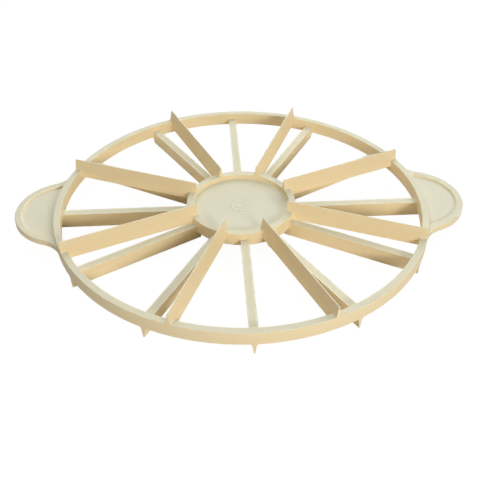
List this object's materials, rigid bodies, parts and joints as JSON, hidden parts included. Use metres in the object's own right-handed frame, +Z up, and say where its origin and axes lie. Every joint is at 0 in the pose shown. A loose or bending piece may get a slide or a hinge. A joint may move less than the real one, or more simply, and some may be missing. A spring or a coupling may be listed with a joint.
{
  "type": "cake portion marker",
  "caption": "Round two-sided cake portion marker: ring, hub and radial wedge blades above and below, with a lobe handle on each side.",
  "frame": {"origin": "on the axis of the ring, at the level of the lower blades' cutting edges, which the marker stands on", "axes": "+Z up along the ring's axis, +X through the right handle, -Y towards the user"},
  "size_m": [0.327, 0.27, 0.026],
  "materials": {
    "ivory_plastic": "satin moulded ivory polypropylene, fine texture, slightly translucent"
  },
  "bodies": {
    "root": {"outer_ring": "ivory_plastic", "hub_collar": "ivory_plastic", "hub_disc": "ivory_plastic", "handle_right_plate": "ivory_plastic", "handle_right_rim": "ivory_plastic", "handle_left_plate": "ivory_plastic", "handle_left_rim": "ivory_plastic", "upper_blade_1": "ivory_plastic", "upper_blade_2": "ivory_plastic", "upper_blade_3": "ivory_plastic", "upper_blade_4": "ivory_plastic", "upper_blade_5": "ivory_plastic", "upper_blade_6": "ivory_plastic", "upper_blade_7": "ivory_plastic", "upper_blade_8": "ivory_plastic", "lower_blade_1": "ivory_plastic", "lower_blade_2": "ivory_plastic", "lower_blade_3": "ivory_plastic", "lower_blade_4": "ivory_plastic", "lower_blade_5": "ivory_plastic", "lower_blade_6": "ivory_plastic", "lower_blade_7": "ivory_plastic", "lower_blade_8": "ivory_plastic", "lower_blade_9": "ivory_plastic", "lower_blade_10": "ivory_plastic", "lower_blade_11": "ivory_plastic", "lower_blade_12": "ivory_plastic"}
  },
  "joints": []
}
